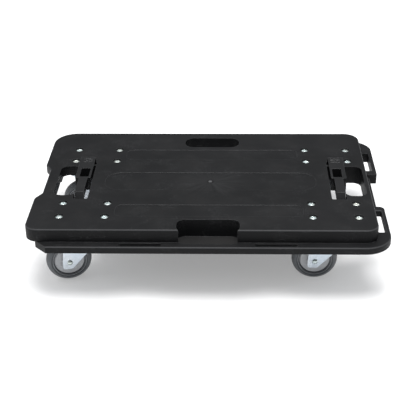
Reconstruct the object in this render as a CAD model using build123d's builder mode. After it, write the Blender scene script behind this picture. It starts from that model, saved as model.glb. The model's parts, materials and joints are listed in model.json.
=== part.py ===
from build123d import *
import os
from math import cos, radians, sin

os.makedirs("parts", exist_ok=True)

# A furniture dolly: one ribbed black moulding on four swivel casters.
# The origin is on the floor under the middle of the overall footprint, +X to the right along
# the long side, +Y to the rear and +Z up. All sizes are in millimetres.

# Overall sizes
overall_length = 580
overall_width = 376
deck_height = 125

# Deck moulding: heights
plate_thickness = 4
wall = 3
body_depth = 34
ledge_drop = 22.5
loop_drop = 16.5
overhang_drop = 22
rear_left_drop = 15
edge_radius = 2.6

# Deck moulding: plan. The ledge runs along the front and the right, and slides under the
# overhang that runs along the left and the rear of the next dolly.
ledge_reach = 15.5
flange_reach = 22
flange_step = 12.5
rear_overhang = 18
deck_rear_left_radius = 40
deck_rear_right_radius = 26
deck_front_radius = 21
flange_rear_radius = 38
flange_front_radius = 44
ledge_end = -273.5
ledge_chamfer = 19
notch_depth = 10.5
notch_rear = 46
notch_front = -58.5
notch_slope = 9
notch_blend = 9
body_corner_radius = 10
body_rear_right_radius = 12
loop_corner_radius = 9
loop_gap_radius = 2.5
loop_wrap = 25
short_skirt_rear = 140

# Slots in the ledge and loops, and the tabs that drop into those of the next dolly
loop_gap = 103
loop_slot_offset = 101.5
loop_slot_length = 70
loop_slot_width = 13
loop_rail = 6.5
ledge_slot_offset = 106.5
ledge_slot_length = 68
ledge_slot_width = 8
tab_length = 60
tab_thickness = 6
tab_bottom = 94

# Openings for the hands
grip_inner = 225
grip_outer = 261
grip_rear = 50
grip_front = -58
grip_radius = 14
grip_bar_depth = 18
grip_arch_inner = 240
channel_inner = 201.5
channel_outer = 226
channel_front = -70
channel_rear = 60
channel_radius = 3
slit_outer = 206
slit_tip = 82
hook_outer = 232
hook_rear = 86
hook_flange = 2
ridge_width = 1.6
ridge_depth = 0.8
ridge_pitch = 6
ridge_count = 3
rear_slot_length = 98
rear_slot_front = 127.5
rear_slot_rear = 166.5
rear_slot_radius = 17
pocket_length = 100
pocket_rear = -138.7
pocket_front = -177
pocket_radius = 14
pocket_floor = 3

# Shallow panels in the top face, and the mark left by the moulding gate
panel_depth = 0.8
panel_wide_length = 358
panel_wide_width = 64
panel_wide_radius = 28
panel_length = 304
panel_width = 38
panel_radius = 12
panel_offset = 103
gate_radius = 3.2
gate_height = 0.8
gate_taper = 40

# Underside
rib = 2.4
rib_bottom = 93
web_drop = 13
web_pitch = 56
rear_webs = 9
left_webs = 5
left_web_y = 10
rib_columns = 12
rib_rows = 8
post_radius = 8
seat_clearance = 2

# Casters
caster_offset_x = 203.1
caster_offset_y = 100.3
pattern_y = -6
hole_spacing_x = 73
hole_spacing_y = 45
hole_radius = 3.3
caster_height = 100
mount_length = 92
mount_width = 64
mount_thickness = 2.5
mount_corner = 8
trail = 30
wheel_radius = 37.5
tyre_half_width = 11
swivel_angles = {"front_left": 15, "front_right": 0, "rear_left": 0, "rear_right": 0}

# Deck screws
head_radius = 6
head_height = 2.4
recess_radius = 7.5
shank_radius = 3
screw_tail = 90.5
nut_across_flats = 10
nut_height = 5
washer_radius = 6
washer_thickness = 1.2
washer_clearance = 0.2
screw_edge = 0.5
recess_depth = 1.3
recess_length = 6
recess_slot = 1.2

# Strap hooks
hook_step = 6
hook_nose = -49
hook_depth = 24
bar_inner = 211
bar_outer = 226
bar_depth = 13
nose_height = 4
nose_length = 11
socket_x = 217.5
socket_y = 26
socket_length = 16
socket_width = 32
socket_depth = 21

# Caster swivel
pin_radius = 5
race_wall = 1.8
race_gap = 0.6
inner_race_gap = 1.2
lower_race_wall = 1.6
lower_race_gap = 1
lower_race_thickness = 2
swivel_clearance = 0.1
crown_top = 91.5
crown_thickness = 3
crown_bottom = crown_top - crown_thickness
crown_radius = 25
crown_bend = 2.5
race_outer = 25
race_inner = 11
upper_ball_radius = 2.5
upper_ball_circle = 18
upper_ball_count = 16
upper_ball_height = 94.5
lower_ball_radius = 2
lower_ball_circle = 8.9
lower_ball_count = 12
lower_ball_height = 86.1
lower_race_outer = 12.9
lower_race_bottom = 81.5
pin_head_radius = 8
pin_bottom = 79

# Fork, measured from the swivel axis
fork_half_width = 16
leg_thickness = 2.5
leg_rear = -24
leg_back = -40
leg_shoulder = 60
leg_bottom = 25.5
leg_heel = -42.5
leg_toe = -26
leg_front = 26
leg_knee = 79.5
leg_corner = 5

# Axle and wheel
bolt_radius = 4
bolt_head_radius = 4.8
bolt_head_height = 3
axle_nut_across_flats = 13
axle_nut_height = 6
sleeve_radius = 5.9
wheel_clearance = 0.08
hub_half_width = 13.2
hub_radius = 11
web_half_width = 9
groove_inner = 23.5
groove_outer = 25.5
groove_depth = 1.6
rim_half_width = 9.8
rim_radius = 29.5
bead_inner = 26.3
bead_outer = 28.7
bead_rise = 0.9
bead_slope = 0.5
tread_rise = 6.5
hub_taper = 2
bolt_tail = 1.5
bolt_edge = 0.6

# Worked out from the values above
nut_top = caster_height - mount_thickness - washer_thickness
seat_height = deck_height - head_height
body_right = overall_length / 2 - flange_reach
body_left = -body_right
body_front = -overall_width / 2 + ledge_reach
body_rear = overall_width / 2 - rear_overhang
body_middle_y = (body_front + body_rear) / 2
body_width = body_rear - body_front
deck_left = -overall_length / 2
deck_rear = overall_width / 2
body_bottom = deck_height - body_depth
plate_bottom = deck_height - plate_thickness
ledge_top = deck_height - ledge_drop
loop_top = deck_height - loop_drop
ledge_slot_y = -overall_width / 2 + ledge_slot_width
loop_slot_x = overall_length / 2 - loop_rail - loop_slot_width / 2
rear_tab_y = deck_rear - ledge_reach + ledge_slot_y + overall_width / 2
left_tab_x = deck_left + loop_slot_x - body_right
ledge_rim_y = -overall_width / 2 + wall
ledge_rim_x = overall_length / 2 - flange_step - 1
tolerance = 0.01
caster_centres = {
    "front_left": (-caster_offset_x, pattern_y - caster_offset_y),
    "front_right": (caster_offset_x, pattern_y - caster_offset_y),
    "rear_left": (-caster_offset_x, pattern_y + caster_offset_y),
    "rear_right": (caster_offset_x, pattern_y + caster_offset_y),
}
screw_points = [
    (x + sx * hole_spacing_x / 2, y + sy * hole_spacing_y / 2)
    for x, y in caster_centres.values()
    for sx in (-1, 1)
    for sy in (-1, 1)
]


def between(low, high):
    """Middle and size of a span."""
    return (low + high) / 2, high - low


def dome_radius(radius, height):
    """Radius of the sphere whose cap has this radius and height."""
    return (radius**2 + height**2) / (2 * height)


def is_ledge_rim(edge, height):
    """True for the edges along the outside of the ledge's top face."""
    middle = edge.center()
    outside = middle.Y < ledge_rim_y or middle.X > ledge_rim_x
    flat = all(abs(end.Z - height) < tolerance for end in (edge.start_point(), edge.end_point()))
    return outside and flat


# Plan outline of the deck, with a shallow notch in the left edge
with BuildSketch() as deck_plan:
    middle_x, length = between(deck_left, body_right)
    middle_y, width = between(body_front, deck_rear)
    with Locations((middle_x, middle_y)):
        Rectangle(length, width)
    corners = deck_plan.vertices()
    rear_corners = corners.group_by(Axis.Y)[-1].sort_by(Axis.X)
    fillet(rear_corners[0], deck_rear_left_radius)
    rear_right = deck_plan.vertices().filter_by(lambda v: v.X > body_right - 1 and v.Y > 0)
    fillet(rear_right, deck_rear_right_radius)
    fillet(deck_plan.vertices().filter_by(lambda v: v.Y < body_front + 1), deck_front_radius)
    with BuildLine():
        Polyline(
            (deck_left - 1, notch_rear + notch_slope),
            (deck_left, notch_rear + notch_slope),
            (deck_left + notch_depth, notch_rear - notch_slope),
            (deck_left + notch_depth, notch_front + notch_slope),
            (deck_left, notch_front - notch_slope),
            (deck_left - 1, notch_front - notch_slope),
            close=True,
        )
    make_face(mode=Mode.SUBTRACT)
    left_corners = deck_plan.vertices().filter_by(lambda v: v.X < deck_left + notch_depth + 1)
    notch_corners = left_corners.filter_by(lambda v: notch_front - wall * 6 < v.Y < notch_rear + wall * 6)
    fillet(notch_corners, notch_blend)

# Plan of the walled body under the deck
with BuildSketch() as body_plan:
    with Locations((0, body_middle_y)):
        Rectangle(2 * body_right, body_width)
    fillet(body_plan.vertices().filter_by(lambda v: v.X < 0), body_corner_radius)
    right_corners = body_plan.vertices().filter_by(lambda v: v.X > body_right - 1)
    fillet(right_corners.sort_by(Axis.Y)[0], deck_front_radius)
    rear_right_corner = body_plan.vertices().filter_by(lambda v: v.X > body_right - 1 and v.Y > 0)
    fillet(rear_right_corner, body_rear_right_radius)

# Plan of the ledge along the front and of the flange along the right, up to its front loop
with BuildSketch() as ledge_plan:
    right = overall_length / 2
    step = right - flange_step
    front = -overall_width / 2
    with BuildLine():
        Polyline(
            (ledge_end, body_front + 2 * wall),
            (ledge_end, front + ledge_chamfer),
            (ledge_end + ledge_chamfer, front),
            (right, front),
            (right, -loop_gap / 2),
            (step, -loop_gap / 2),
            (step, loop_gap / 2),
            (body_right - wall, loop_gap / 2),
            (body_right - wall, body_front + 2 * wall),
            close=True,
        )
    make_face()
    outer = ledge_plan.vertices().filter_by(lambda v: v.X > right - 1)
    fillet(outer.sort_by(Axis.Y)[0], flange_front_radius)
    gap_corner = ledge_plan.vertices().filter_by(lambda v: v.X > right - 1 and v.Y > -loop_gap)
    fillet(gap_corner, loop_corner_radius)

# Plan of the rear loop, taller than the front one
with BuildSketch() as loop_plan:
    with BuildLine():
        Polyline(
            (body_right - wall, loop_gap / 2),
            (right, loop_gap / 2),
            (right, deck_rear),
            (body_right - loop_wrap, deck_rear),
            (body_right - loop_wrap, body_rear - wall),
            (body_right - wall, body_rear - wall),
            close=True,
        )
    make_face()
    loop_ends = loop_plan.vertices().filter_by(lambda v: v.X > right - 1).sort_by(Axis.Y)
    fillet(loop_ends[-1], flange_rear_radius)
    gap_end = loop_plan.vertices().filter_by(lambda v: v.X > right - 1 and v.Y < loop_gap)
    fillet(gap_end, loop_gap_radius)

# Plan of one end opening: the grip hole and, on its inner side, the channel of the strap hook
with BuildSketch() as end_opening:
    middle_x, length = between(grip_inner, grip_outer)
    middle_y, width = between(grip_front, grip_rear)
    with Locations((middle_x, middle_y)):
        RectangleRounded(length, width, grip_radius)
    middle_x, length = between(channel_inner, channel_outer)
    middle_y, width = between(channel_front, channel_rear)
    with Locations((middle_x, middle_y)):
        Rectangle(length, width)
    middle_x, length = between(slit_outer, hook_outer)
    middle_y, width = between(grip_rear - grip_radius, channel_rear)
    with Locations((middle_x, middle_y)):
        Rectangle(length, width)
    fillet(end_opening.vertices().filter_by(lambda v: v.Y < channel_front + 1), channel_radius)

with BuildSketch() as end_lining:
    offset(end_opening.sketch, amount=wall)

# Slit that runs out to a point beside the fixed end of the hook
with BuildSketch() as slit_plan:
    with BuildLine():
        Polyline(
            (channel_inner, channel_rear - 1),
            (slit_outer, channel_rear - 1),
            (slit_outer, slit_tip),
            (channel_inner, channel_rear + 1),
            close=True,
        )
    make_face()

with BuildSketch() as rear_slot:
    with Locations((0, between(rear_slot_front, rear_slot_rear)[0])):
        RectangleRounded(rear_slot_length, rear_slot_rear - rear_slot_front, rear_slot_radius)

with BuildSketch() as pocket_plan:
    with Locations((0, between(pocket_front, pocket_rear)[0])):
        RectangleRounded(pocket_length, pocket_rear - pocket_front, pocket_radius)

# Deck: one moulding, open underneath and stiffened with ribs
with BuildPart() as deck:
    # Top plate and the skirt round its edge
    with BuildSketch(Plane.XY.offset(plate_bottom)):
        add(deck_plan.sketch)
    extrude(amount=plate_thickness)
    top_edges = deck.faces().sort_by(Axis.Z)[-1].edges()
    fillet(top_edges, edge_radius)
    with BuildSketch(Plane.XY.offset(deck_height - overhang_drop)):
        add(deck_plan.sketch)
        offset(deck_plan.sketch, amount=-wall, mode=Mode.SUBTRACT)
    extrude(amount=overhang_drop - plate_thickness)
    # The skirt is cut shorter where it passes over a neighbour's rear loop
    with BuildSketch(Plane.XY.offset(deck_height - overhang_drop)):
        with Locations((deck_left, short_skirt_rear / 2)):
            Rectangle(2 * (wall + notch_depth), short_skirt_rear)
    extrude(amount=overhang_drop - rear_left_drop, mode=Mode.SUBTRACT)
    # Body walls
    with BuildSketch(Plane.XY.offset(body_bottom)):
        add(body_plan.sketch)
        offset(body_plan.sketch, amount=-wall, mode=Mode.SUBTRACT)
    extrude(amount=plate_bottom - body_bottom)
    # Ribs on the underside, up to the body walls
    with BuildSketch(Plane.XY.offset(rib_bottom)):
        with GridLocations(2 * (body_right - wall) / rib_columns, 1, rib_columns - 1, 1):
            with Locations((0, body_middle_y)):
                Rectangle(rib, body_width - wall)
        with Locations((0, body_middle_y)):
            with GridLocations(1, body_width / rib_rows, 1, rib_rows - 1):
                Rectangle(2 * body_right - wall, rib)
    extrude(amount=plate_bottom - rib_bottom)
    # Ledge and front loop
    with BuildSketch(Plane.XY.offset(body_bottom)):
        add(ledge_plan.sketch)
    extrude(amount=ledge_top - body_bottom)
    # Rear loop
    with BuildSketch(Plane.XY.offset(body_bottom)):
        add(loop_plan.sketch)
    extrude(amount=loop_top - body_bottom)
    # Lined openings for the hands
    right_plans = (end_lining.sketch, end_opening.sketch, slit_plan.sketch)
    left_plans = tuple(mirror(plan, about=Plane.YZ, mode=Mode.PRIVATE) for plan in right_plans)
    for lining, opening, slit in (right_plans, left_plans):
        with BuildSketch(Plane.XY.offset(rib_bottom)):
            add(lining)
        extrude(amount=plate_bottom - rib_bottom)
        with BuildSketch(Plane.XY.offset(body_bottom)):
            add(opening)
        extrude(amount=body_depth, mode=Mode.SUBTRACT)
        with BuildSketch(Plane.XY.offset(plate_bottom)):
            add(slit)
        extrude(amount=plate_thickness, mode=Mode.SUBTRACT)
    # Room for the fingers under the bar outside the left grip hole
    with BuildSketch(Plane.XY.offset(body_bottom)):
        middle_x, length = between(body_left - 1, -grip_arch_inner)
        middle_y, width = between(grip_front + grip_radius, grip_rear + wall + 1)
        with Locations((middle_x, middle_y)):
            Rectangle(length, width)
    extrude(amount=body_depth - grip_bar_depth, mode=Mode.SUBTRACT)
    with BuildSketch(Plane.XY.offset(rib_bottom)):
        offset(rear_slot.sketch, amount=wall)
    extrude(amount=plate_bottom - rib_bottom)
    with BuildSketch(Plane.XY.offset(body_bottom)):
        add(rear_slot.sketch)
    extrude(amount=body_depth, mode=Mode.SUBTRACT)
    with BuildSketch(Plane.XY.offset(body_bottom)):
        offset(pocket_plan.sketch, amount=wall)
        with Locations((0, body_front)):
            Rectangle(2 * pocket_length, pocket_length, align=(Align.CENTER, Align.MAX), mode=Mode.SUBTRACT)
    extrude(amount=plate_bottom - body_bottom)
    with BuildSketch(Plane.XY.offset(body_bottom + pocket_floor)):
        add(pocket_plan.sketch)
    extrude(amount=body_depth, mode=Mode.SUBTRACT)
    # Seats round the casters: the ribs stop at the mounting plates
    with BuildSketch(Plane.XY.offset(body_bottom)):
        with Locations((0, pattern_y)):
            with GridLocations(2 * caster_offset_x, 2 * caster_offset_y, 2, 2):
                Rectangle(mount_length + 2 * seat_clearance, mount_width + 2 * seat_clearance)
    extrude(amount=caster_height - body_bottom, mode=Mode.SUBTRACT)
    with BuildSketch(Plane.XY.offset(caster_height)):
        with Locations((0, pattern_y)):
            with GridLocations(2 * caster_offset_x, 2 * caster_offset_y, 2, 2):
                Rectangle(mount_length, mount_width)
                Rectangle(mount_length - 2 * wall, mount_width - 2 * wall, mode=Mode.SUBTRACT)
        with Locations(screw_points):
            Circle(post_radius)
    extrude(amount=plate_bottom - caster_height)
    # Slots through the ledge and the loops
    with BuildSketch(Plane.XY.offset(body_bottom)):
        with Locations((0, ledge_slot_y)):
            with GridLocations(2 * ledge_slot_offset, 1, 2, 1):
                SlotOverall(ledge_slot_length, ledge_slot_width)
        with Locations((loop_slot_x, 0)):
            with GridLocations(1, 2 * loop_slot_offset, 1, 2):
                RectangleRounded(loop_slot_width, loop_slot_length, loop_gap_radius)
    extrude(amount=loop_top - body_bottom + 1, mode=Mode.SUBTRACT)
    # Tabs under the left and rear overhangs, with webs behind them
    with BuildSketch(Plane.XY.offset(tab_bottom)):
        with Locations((0, rear_tab_y)):
            with GridLocations(2 * ledge_slot_offset, 1, 2, 1):
                Rectangle(tab_length, tab_thickness)
        with Locations((left_tab_x, 0)):
            with GridLocations(1, 2 * loop_slot_offset, 1, 2):
                Rectangle(tab_thickness, tab_length)
    extrude(amount=plate_bottom - tab_bottom)
    with BuildSketch(Plane.XY.offset(deck_height - web_drop)):
        with Locations((0, between(body_rear, deck_rear)[0])):
            with GridLocations(web_pitch, 1, rear_webs, 1):
                Rectangle(rib, rear_overhang - wall)
        with Locations((between(deck_left + notch_depth, body_left)[0], left_web_y)):
            with GridLocations(1, web_pitch, 1, left_webs):
                Rectangle(body_left - deck_left - notch_depth, rib)
    extrude(amount=web_drop - plate_thickness)
    # Shallow panels and the gate mark on the top face
    with BuildSketch(Plane.XY.offset(deck_height - panel_depth)):
        with Locations((0, pattern_y)):
            RectangleRounded(panel_wide_length, panel_wide_width, panel_wide_radius)
            with GridLocations(1, 2 * panel_offset, 1, 2):
                RectangleRounded(panel_length, panel_width, panel_radius)
    extrude(amount=panel_depth, mode=Mode.SUBTRACT)
    with BuildSketch(Plane.XY.offset(deck_height - panel_depth)):
        with Locations((0, pattern_y)):
            Circle(gate_radius)
    extrude(amount=gate_height, taper=gate_taper)
    # Recess for the rear flange of each strap hook
    with BuildSketch(Plane.XY.offset(deck_height - hook_flange)):
        with Locations((0, between(channel_rear, hook_rear)[0])):
            with GridLocations(2 * between(slit_outer, hook_outer)[0], 1, 2, 1):
                Rectangle(hook_outer - slit_outer, hook_rear - channel_rear)
    extrude(amount=hook_flange, mode=Mode.SUBTRACT)
    # Screw holes, recessed for the heads
    with Locations([(x, y, deck_height) for x, y in screw_points]):
        CounterBoreHole(hole_radius, recess_radius, head_height, deck_height - caster_height + 1)
    # Rounded outer edges of the ledge and the rear loop
    ledge_edges = deck.edges().filter_by(lambda e: is_ledge_rim(e, ledge_top))
    fillet(ledge_edges, edge_radius)

deck.part.label = "deck"
export_step(deck.part, "parts/deck.step")

# Strap hooks: each is a block with a deep square socket, and a bar with a free, sloping nose
for side_name, side in (("left", -1), ("right", 1)):
    with BuildPart() as hook:
        middle_y, width = between(hook_step, channel_rear)
        with BuildSketch(Plane.XY.offset(deck_height - hook_depth)):
            with Locations((between(slit_outer, hook_outer)[0], middle_y)):
                Rectangle(hook_outer - slit_outer, width)
        extrude(amount=hook_depth)
        with BuildSketch(Plane.XY.offset(deck_height - bar_depth)):
            middle_x, length = between(bar_inner, bar_outer)
            with Locations((middle_x, between(hook_nose, hook_step)[0])):
                Rectangle(length, hook_step - hook_nose)
        extrude(amount=bar_depth)
        nose_edge = hook.edges().group_by(Axis.Y)[0].sort_by(Axis.Z)[-1]
        chamfer(nose_edge, nose_height, nose_length)
        with BuildSketch(Plane.XY.offset(deck_height - hook_flange)):
            with Locations((between(slit_outer, hook_outer)[0], between(channel_rear, hook_rear)[0])):
                Rectangle(hook_outer - slit_outer, hook_rear - channel_rear)
        extrude(amount=hook_flange)
        with BuildSketch(Plane.XY.offset(deck_height)):
            with Locations((socket_x, between(channel_rear, hook_rear)[0])):
                with GridLocations(1, ridge_pitch, 1, ridge_count):
                    Rectangle(socket_length, ridge_width)
        extrude(amount=-ridge_depth, mode=Mode.SUBTRACT)
        with BuildSketch(Plane.XY.offset(deck_height)):
            with Locations((socket_x, socket_y)):
                Rectangle(socket_length, socket_width)
        extrude(amount=-socket_depth, mode=Mode.SUBTRACT)
        if side < 0:
            mirror(hook.part, about=Plane.YZ, mode=Mode.REPLACE)
    hook.part.label = f"{side_name}_strap_hook"
    export_step(hook.part, f"parts/{side_name}_strap_hook.step")

# Deck screws: low domed heads with a cross recess, seen from above
with BuildPart() as deck_screws:
    with BuildSketch(Plane.XZ) as screw_profile:
        with BuildLine():
            Line((0, screw_tail), (shank_radius - screw_edge, screw_tail))
            Line((shank_radius - screw_edge, screw_tail), (shank_radius, screw_tail + screw_edge))
            Line((shank_radius, screw_tail + screw_edge), (shank_radius, seat_height))
            Line((shank_radius, seat_height), (head_radius, seat_height))
            Line((head_radius, seat_height), (head_radius, seat_height + screw_edge))
            head_dome = dome_radius(head_radius, head_height - screw_edge)
            RadiusArc((head_radius, seat_height + screw_edge), (0, deck_height), head_dome)
            Line((0, deck_height), (0, screw_tail))
        make_face()
    screw_shape = revolve(screw_profile.sketch, axis=Axis.Z, mode=Mode.PRIVATE)
    with Locations([(x, y, 0) for x, y in screw_points]):
        add(screw_shape)
    with BuildSketch(Plane.XY.offset(deck_height - recess_depth)):
        with Locations(screw_points):
            Rectangle(recess_length, recess_slot)
            Rectangle(recess_slot, recess_length)
    extrude(amount=recess_depth, mode=Mode.SUBTRACT)
deck_screws.part.label = "deck_screws"
export_step(deck_screws.part, "parts/deck_screws.step")

with BuildPart() as deck_nuts:
    with BuildSketch(Plane.XY.offset(nut_top)):
        with Locations(screw_points):
            RegularPolygon(nut_across_flats / 2, 6, major_radius=False)
            Circle(shank_radius, mode=Mode.SUBTRACT)
    extrude(amount=-nut_height)
deck_nuts.part.label = "deck_nuts"
export_step(deck_nuts.part, "parts/deck_nuts.step")

with BuildPart() as deck_washers:
    with BuildSketch(Plane.XY.offset(nut_top)):
        with Locations(screw_points):
            Circle(washer_radius)
            Circle(shank_radius + washer_clearance, mode=Mode.SUBTRACT)
    extrude(amount=washer_thickness)
deck_washers.part.label = "deck_washers"
export_step(deck_washers.part, "parts/deck_washers.step")


def ring_profile(inner, outer, low, high):
    """Rectangle to be revolved about the vertical axis of a caster."""
    with Locations((between(inner, outer)[0], between(low, high)[0])):
        Rectangle(outer - inner, high - low)


# Casters: the mounting plate, its pin, balls and race stay with the deck. The fork turns about
# the pin, and the wheel turns on a sleeve round the axle bolt.
for corner, (centre_x, centre_y) in caster_centres.items():
    angle = radians(swivel_angles[corner])
    forward = (cos(angle), sin(angle), 0)
    across = (-sin(angle), cos(angle), 0)
    seat_plane = Plane(origin=(centre_x, centre_y, 0), x_dir=(1, 0, 0), z_dir=(0, 0, 1))
    upright = Plane(origin=(centre_x, centre_y, 0), x_dir=forward, z_dir=(sin(angle), -cos(angle), 0))
    level = Plane(origin=(centre_x, centre_y, 0), x_dir=forward, z_dir=(0, 0, 1))
    swivel_axis = Axis((centre_x, centre_y, 0), (0, 0, 1))
    axle_x = centre_x - trail * cos(angle)
    axle_y = centre_y - trail * sin(angle)
    axle_plane = Plane(origin=(axle_x, axle_y, wheel_radius), x_dir=across, z_dir=(0, 0, 1))
    side_plane = Plane(origin=(axle_x, axle_y, wheel_radius), x_dir=across, z_dir=forward)
    axle_axis = Axis((axle_x, axle_y, wheel_radius), across)
    axle_end = Plane(origin=(axle_x, axle_y, wheel_radius), x_dir=forward, z_dir=across)

    with BuildPart() as mount:
        with BuildSketch(seat_plane.offset(caster_height - mount_thickness)):
            RectangleRounded(mount_length, mount_width, mount_corner)
            with GridLocations(hole_spacing_x, hole_spacing_y, 2, 2):
                Circle(hole_radius, mode=Mode.SUBTRACT)
            Circle(pin_radius, mode=Mode.SUBTRACT)
        extrude(amount=mount_thickness)
        with BuildSketch(upright):
            plate_base = caster_height - mount_thickness
            ring_profile(race_outer - race_wall, race_outer, crown_top + race_gap, plate_base)
            ring_profile(race_inner, race_inner + race_wall, crown_top + inner_race_gap, plate_base)
        revolve(axis=swivel_axis)
    mount.part.label = f"{corner}_mounting_plate"
    export_step(mount.part, f"parts/{corner}_mounting_plate.step")

    with BuildPart() as upper_balls:
        with Locations(level.offset(upper_ball_height)):
            with PolarLocations(upper_ball_circle, upper_ball_count):
                Sphere(upper_ball_radius)
    upper_balls.part.label = f"{corner}_upper_balls"
    export_step(upper_balls.part, f"parts/{corner}_upper_balls.step")

    with BuildPart() as lower_balls:
        with Locations(level.offset(lower_ball_height)):
            with PolarLocations(lower_ball_circle, lower_ball_count):
                Sphere(lower_ball_radius)
    lower_balls.part.label = f"{corner}_lower_balls"
    export_step(lower_balls.part, f"parts/{corner}_lower_balls.step")

    with BuildPart() as lower_race:
        with BuildSketch(upright):
            race_rim = lower_race_outer - lower_race_wall
            race_floor = lower_race_bottom + lower_race_thickness
            ring_profile(pin_radius, lower_race_outer, lower_race_bottom, race_floor)
            ring_profile(race_rim, lower_race_outer, lower_race_bottom, crown_bottom - lower_race_gap)
        revolve(axis=swivel_axis)
    lower_race.part.label = f"{corner}_lower_race"
    export_step(lower_race.part, f"parts/{corner}_lower_race.step")

    with BuildPart() as king_pin:
        with BuildSketch(upright):
            with BuildLine():
                Line((0, pin_bottom), (0, caster_height))
                Line((0, caster_height), (pin_radius, caster_height))
                Line((pin_radius, caster_height), (pin_radius, lower_race_bottom))
                Line((pin_radius, lower_race_bottom), (pin_head_radius, lower_race_bottom))
                pin_dome = dome_radius(pin_head_radius, lower_race_bottom - pin_bottom)
                RadiusArc((pin_head_radius, lower_race_bottom), (0, pin_bottom), pin_dome)
            make_face()
        revolve(axis=swivel_axis)
    king_pin.part.label = f"{corner}_king_pin"
    export_step(king_pin.part, f"parts/{corner}_king_pin.step")

    with BuildPart() as fork:
        with BuildSketch(upright):
            with BuildLine():
                Polyline(
                    (leg_rear, crown_bottom),
                    (leg_back, leg_shoulder),
                    (leg_heel, leg_bottom),
                    (leg_toe, leg_bottom),
                    (leg_front, leg_knee),
                    (leg_front, crown_top),
                    (leg_rear, crown_top),
                    close=True,
                )
            make_face()
        extrude(amount=fork_half_width, both=True)
        long_edges = fork.edges().filter_by(lambda e: abs((e % 0.5).dot(Vector(*across))) > 0.99)
        fillet(long_edges.group_by(Axis.Z)[0], leg_corner)
        top_sides = fork.faces().sort_by(Axis.Z)[-1].edges().filter_by(
            lambda e: abs((e % 0.5).dot(Vector(*forward))) > 0.99
        )
        fillet(top_sides, crown_bend)
        with BuildSketch(level):
            with Locations((between(leg_back, leg_front)[0], 0)):
                Rectangle(2 * (leg_front - leg_back), 2 * (fork_half_width - leg_thickness))
        extrude(amount=crown_bottom, mode=Mode.SUBTRACT)
        with BuildSketch(level.offset(crown_bottom)):
            Circle(crown_radius)
        extrude(amount=crown_thickness)
        with BuildSketch(level.offset(crown_bottom)):
            Circle(pin_radius + swivel_clearance)
        extrude(amount=crown_thickness, mode=Mode.SUBTRACT)
        with BuildSketch(axle_end.offset(-fork_half_width)):
            Circle(bolt_radius)
        extrude(amount=2 * fork_half_width, mode=Mode.SUBTRACT)
    fork.part.label = f"{corner}_fork"
    export_step(fork.part, f"parts/{corner}_fork.step")

    with BuildPart() as axle_bolt:
        with BuildSketch(side_plane):
            tip = fork_half_width + axle_nut_height + bolt_tail
            neck = tip - bolt_edge
            with BuildLine():
                Line((-fork_half_width - bolt_head_height, 0), (tip, 0))
                Line((tip, 0), (tip, bolt_edge - bolt_radius))
                Line((tip, bolt_edge - bolt_radius), (neck, -bolt_radius))
                Line((neck, -bolt_radius), (-fork_half_width, -bolt_radius))
                Line((-fork_half_width, -bolt_radius), (-fork_half_width, -bolt_head_radius))
                bolt_dome = dome_radius(bolt_head_radius, bolt_head_height)
                head_tip = (-fork_half_width - bolt_head_height, 0)
                RadiusArc((-fork_half_width, -bolt_head_radius), head_tip, bolt_dome)
            make_face()
        revolve(axis=axle_axis)
    axle_bolt.part.label = f"{corner}_axle_bolt"
    export_step(axle_bolt.part, f"parts/{corner}_axle_bolt.step")

    with BuildPart() as axle_nut:
        with BuildSketch(axle_end.offset(fork_half_width)):
            RegularPolygon(axle_nut_across_flats / 2, 6, major_radius=False)
            Circle(bolt_radius, mode=Mode.SUBTRACT)
        extrude(amount=axle_nut_height)
    axle_nut.part.label = f"{corner}_axle_nut"
    export_step(axle_nut.part, f"parts/{corner}_axle_nut.step")

    with BuildPart() as sleeve:
        with BuildSketch(axle_end.offset(-fork_half_width + leg_thickness)):
            Circle(sleeve_radius)
            Circle(bolt_radius, mode=Mode.SUBTRACT)
        extrude(amount=2 * (fork_half_width - leg_thickness))
    sleeve.part.label = f"{corner}_axle_sleeve"
    export_step(sleeve.part, f"parts/{corner}_axle_sleeve.step")

    with BuildPart() as wheel_core:
        with BuildSketch(side_plane):
            with BuildLine():
                Polyline(
                    (-hub_half_width, sleeve_radius + wheel_clearance),
                    (hub_half_width, sleeve_radius + wheel_clearance),
                    (hub_half_width, hub_radius),
                    (web_half_width, hub_radius + hub_taper),
                    (web_half_width, groove_inner),
                    (web_half_width - groove_depth, groove_inner),
                    (web_half_width - groove_depth, groove_outer),
                    (rim_half_width, groove_outer),
                    (rim_half_width, bead_inner),
                    (rim_half_width + bead_rise, bead_inner + bead_slope),
                    (rim_half_width + bead_rise, bead_outer - bead_slope),
                    (rim_half_width, bead_outer),
                    (rim_half_width, rim_radius),
                    (-rim_half_width, rim_radius),
                    (-rim_half_width, bead_outer),
                    (-rim_half_width - bead_rise, bead_outer - bead_slope),
                    (-rim_half_width - bead_rise, bead_inner + bead_slope),
                    (-rim_half_width, bead_inner),
                    (-rim_half_width, groove_outer),
                    (-web_half_width + groove_depth, groove_outer),
                    (-web_half_width + groove_depth, groove_inner),
                    (-web_half_width, groove_inner),
                    (-web_half_width, hub_radius + hub_taper),
                    (-hub_half_width, hub_radius),
                    close=True,
                )
            make_face()
        revolve(axis=axle_axis)
    wheel_core.part.label = f"{corner}_wheel_core"
    export_step(wheel_core.part, f"parts/{corner}_wheel_core.step")

    with BuildPart() as tyre:
        with BuildSketch(side_plane):
            tread_start = wheel_radius - tread_rise
            with BuildLine():
                Polyline(
                    (tyre_half_width, tread_start),
                    (tyre_half_width, rim_radius),
                    (-tyre_half_width, rim_radius),
                    (-tyre_half_width, tread_start),
                )
                tread_end = (tyre_half_width, tread_start)
                ThreePointArc((-tyre_half_width, tread_start), (0, wheel_radius), tread_end)
            make_face()
        revolve(axis=axle_axis)
    tyre.part.label = f"{corner}_tyre"
    export_step(tyre.part, f"parts/{corner}_tyre.step")
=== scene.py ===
import json
import bpy
import bmesh
from math import cos, hypot, pi, radians, sin, tau
from mathutils import Matrix, Vector


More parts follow.
